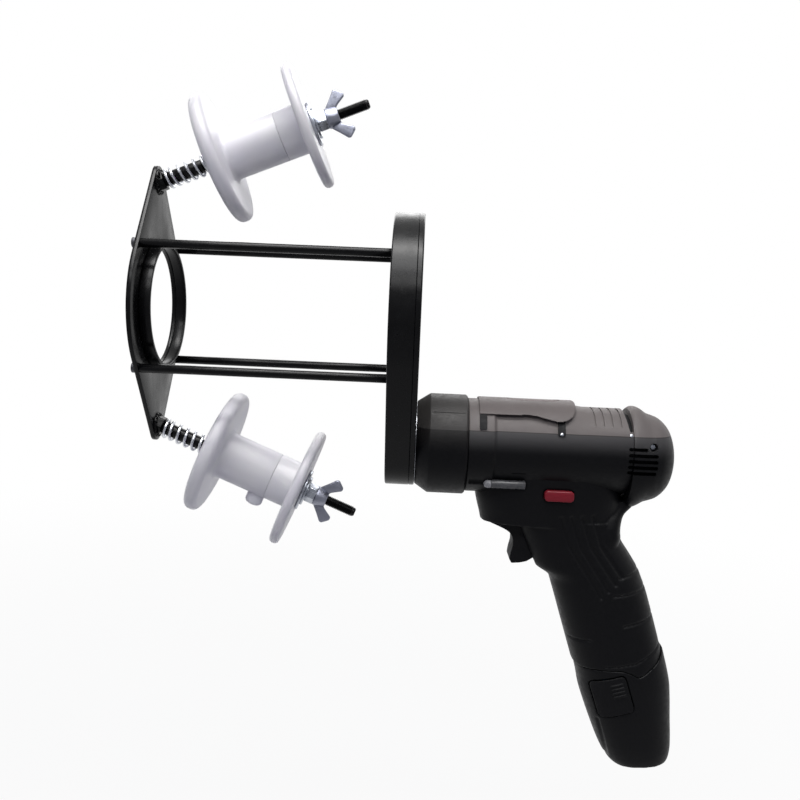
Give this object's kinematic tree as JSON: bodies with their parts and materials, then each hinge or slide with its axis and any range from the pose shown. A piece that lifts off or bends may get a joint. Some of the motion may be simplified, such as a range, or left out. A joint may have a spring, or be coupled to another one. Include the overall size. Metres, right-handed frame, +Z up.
{
  "type": "pipe tape wrapping machine",
  "caption": "Hand-held pipe tape wrapping machine: a pistol driver turns a rod cage that carries sprung, tilted tape spools round a pipe.",
  "frame": {"origin": "centre of the pipe passage at the front face of the front plate", "axes": "+X along the pipe from the front plate to the driver, +Z up, grip hanging down"},
  "size_m": [0.3085, 0.1132, 0.3888],
  "materials": {
    "black_steel": "gloss",
    "dark_steel": "satin",
    "gear_steel": "satin",
    "bearing_steel": "polished",
    "zinc": "satin",
    "bronze": "satin",
    "nylon": "satin",
    "housing_black": "satin",
    "housing_grey": "satin",
    "case_metal": "satin",
    "copper_core": "satin",
    "button_red": "satin",
    "clear": "gloss",
    "cell_wrap": "satin"
  },
  "bodies": {
    "frame": {"hub_tube": "dark_steel", "bearing_inner": "bearing_steel", "retaining_ring": "dark_steel", "arm_housing": "black_steel", "arm_cover": "black_steel", "cover_screws": "dark_steel", "front_bush": "bronze", "rear_bush": "bronze", "nose_collar": "housing_black", "housing_left": "housing_black", "housing_right": "housing_black", "top_cover": "housing_grey", "rear_cap": "housing_black", "gear_case": "case_metal", "motor_can": "gear_steel", "switch_body": "housing_black", "work_light": "clear"},
    "head": {"front_plate": "black_steel", "guide_collar": "black_steel", "tie_rod_1": "black_steel", "tie_rod_2": "black_steel", "tie_rod_3": "black_steel", "tie_rod_4": "black_steel", "rod_screws": "black_steel", "rotor_plate": "dark_steel", "head_gear": "gear_steel", "bearing_outer": "bearing_steel", "upper_stud": "black_steel", "upper_weld_nut": "black_steel", "upper_spring": "zinc", "lower_stud": "black_steel", "lower_weld_nut": "black_steel", "lower_spring": "zinc"},
    "balls": {"bearing_balls": "bearing_steel"},
    "output": {"drive_pinion": "gear_steel", "output_spindle": "gear_steel"},
    "planet_one": {"planet_1": "gear_steel"},
    "planet_two": {"planet_2": "gear_steel"},
    "planet_three": {"planet_3": "gear_steel"},
    "motor": {"armature": "copper_core"},
    "trigger_lever": {"trigger": "housing_black"},
    "selector": {"direction_button": "button_red"},
    "battery": {"battery_case": "housing_black", "battery_cells": "cell_wrap"},
    "left_latch": {"latch_left": "housing_black"},
    "right_latch": {"latch_right": "housing_black"},
    "upper_follower": {"upper_wide_washer": "zinc", "upper_small_washer": "zinc"},
    "upper_spool": {"upper_spool_body": "nylon", "upper_spool_cap": "nylon"},
    "upper_nuts": {"upper_hex_nut": "zinc", "upper_wing_nut": "zinc"},
    "lower_follower": {"lower_wide_washer": "zinc", "lower_small_washer": "zinc"},
    "lower_spool": {"lower_spool_body": "nylon", "lower_spool_cap": "nylon"},
    "lower_nuts": {"lower_hex_nut": "zinc", "lower_wing_nut": "zinc"}
  },
  "joints": [
    {"name": "head_spin", "type": "hinge", "parent": "frame", "child": "head", "pos_m": [0.134, 0, 0], "axis": [1, 0, 0], "continuous": true},
    {"name": "ball_roll", "type": "hinge", "parent": "frame", "child": "balls", "pos_m": [0.1424, 0, 0], "axis": [1, 0, 0], "continuous": true},
    {"name": "output_spin", "type": "hinge", "parent": "frame", "child": "output", "pos_m": [0.1505, 0, -0.07125], "axis": [1, 0, 0], "continuous": true},
    {"name": "motor_spin", "type": "hinge", "parent": "frame", "child": "motor", "pos_m": [0.2, 0, -0.07125], "axis": [1, 0, 0], "continuous": true},
    {"name": "planet_one_spin", "type": "hinge", "parent": "output", "child": "planet_one", "pos_m": [0.1735, 0.012, -0.07125], "axis": [1, 0, 0], "continuous": true},
    {"name": "planet_two_spin", "type": "hinge", "parent": "output", "child": "planet_two", "pos_m": [0.1735, -0.006, -0.06086], "axis": [1, 0, 0], "continuous": true},
    {"name": "planet_three_spin", "type": "hinge", "parent": "output", "child": "planet_three", "pos_m": [0.1735, -0.006, -0.08164], "axis": [1, 0, 0], "continuous": true},
    {"name": "upper_tension", "type": "slide", "parent": "head", "child": "upper_follower", "axis": [0.9272, 0, 0.3746], "range_m": [-0.006, 0.002], "deforming": ["upper_spring"]},
    {"name": "upper_nut_turn", "type": "hinge", "parent": "upper_follower", "child": "upper_nuts", "pos_m": [0.09211, 0, 0.10421], "axis": [0.9272, 0, 0.3746], "range_deg": [-2160, 720]},
    {"name": "upper_spool_spin", "type": "hinge", "parent": "upper_follower", "child": "upper_spool", "pos_m": [0.06013, 0, 0.09129], "axis": [0.9272, 0, 0.3746], "continuous": true},
    {"name": "lower_tension", "type": "slide", "parent": "head", "child": "lower_follower", "axis": [0.9272, 0, -0.3746], "range_m": [-0.006, 0.002], "deforming": ["lower_spring"]},
    {"name": "lower_nut_turn", "type": "hinge", "parent": "lower_follower", "child": "lower_nuts", "pos_m": [0.09211, 0, -0.10421], "axis": [0.9272, 0, -0.3746], "range_deg": [-2160, 720]},
    {"name": "lower_spool_spin", "type": "hinge", "parent": "lower_follower", "child": "lower_spool", "pos_m": [0.06013, 0, -0.09129], "axis": [0.9272, 0, -0.3746], "continuous": true},
    {"name": "trigger_pull", "type": "slide", "parent": "frame", "child": "trigger_lever", "axis": [1, 0, 0], "range_m": [0, 0.006], "stiffness_N_per_m": 400},
    {"name": "direction_switch", "type": "slide", "parent": "frame", "child": "selector", "axis": [0, 1, 0], "range_m": [0, 0.006]},
    {"name": "battery_slide", "type": "slide", "parent": "frame", "child": "battery", "axis": [0.3256, 0, -0.9455], "range_m": [0, 0.075]},
    {"name": "left_latch_press", "type": "slide", "parent": "battery", "child": "left_latch", "axis": [0, 1, 0], "range_m": [0, 0.0016], "stiffness_N_per_m": 300},
    {"name": "right_latch_press", "type": "slide", "parent": "battery", "child": "right_latch", "axis": [0, -1, 0], "range_m": [0, 0.0016], "stiffness_N_per_m": 300}
  ],
  "couplings": [
    {"joint": "ball_roll", "follows": "head_spin", "ratio": 0.53125},
    {"joint": "output_spin", "follows": "head_spin", "ratio": -2.5185},
    {"joint": "motor_spin", "follows": "head_spin", "ratio": -12.593},
    {"joint": "planet_one_spin", "follows": "head_spin", "ratio": 6.716},
    {"joint": "planet_two_spin", "follows": "head_spin", "ratio": 6.716},
    {"joint": "planet_three_spin", "follows": "head_spin", "ratio": 6.716},
    {"joint": "upper_nut_turn", "follows": "upper_tension", "rad_per_m": 6283.2},
    {"joint": "lower_nut_turn", "follows": "lower_tension", "rad_per_m": 6283.2}
  ]
}
